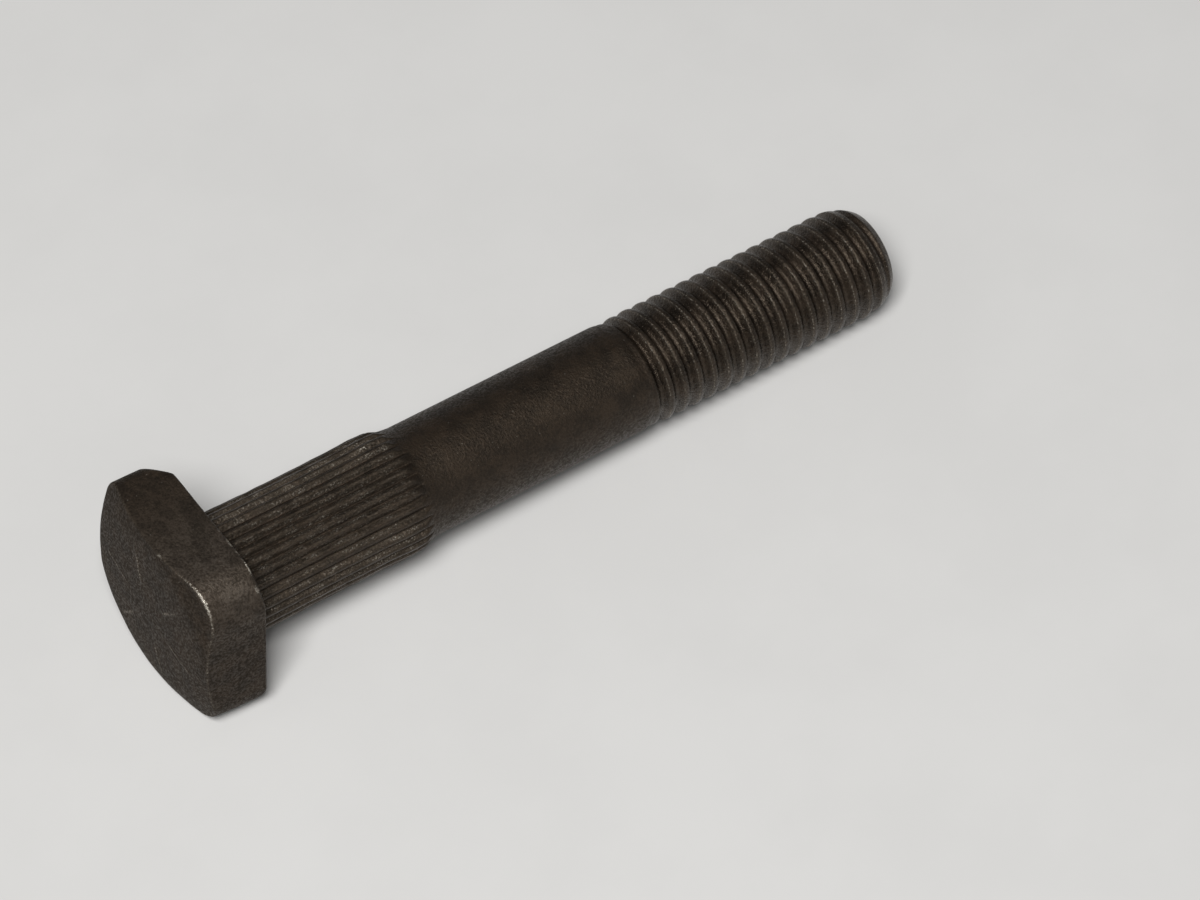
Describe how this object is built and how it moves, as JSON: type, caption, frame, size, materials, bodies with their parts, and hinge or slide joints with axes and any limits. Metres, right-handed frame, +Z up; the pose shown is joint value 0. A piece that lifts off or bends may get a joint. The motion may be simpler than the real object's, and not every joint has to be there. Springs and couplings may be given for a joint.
{
  "type": "chainsaw bar stud",
  "caption": "Square-headed steel stud with a serrated press-in neck, plain shank and threaded end; it holds the guide bar and cover of a chainsaw.",
  "frame": {"origin": "bottom centre of the stud's box as it lies at rest on a table", "axes": "+X along the stud towards its threaded end, +Z up from the table, +Y across the stud"},
  "size_m": [0.0732, 0.0166, 0.0168],
  "materials": {
    "black_steel": "black oxide on steel, satin, with bright wear on the head's edges"
  },
  "bodies": {
    "root": {"bar_stud": "black_steel"}
  },
  "joints": []
}
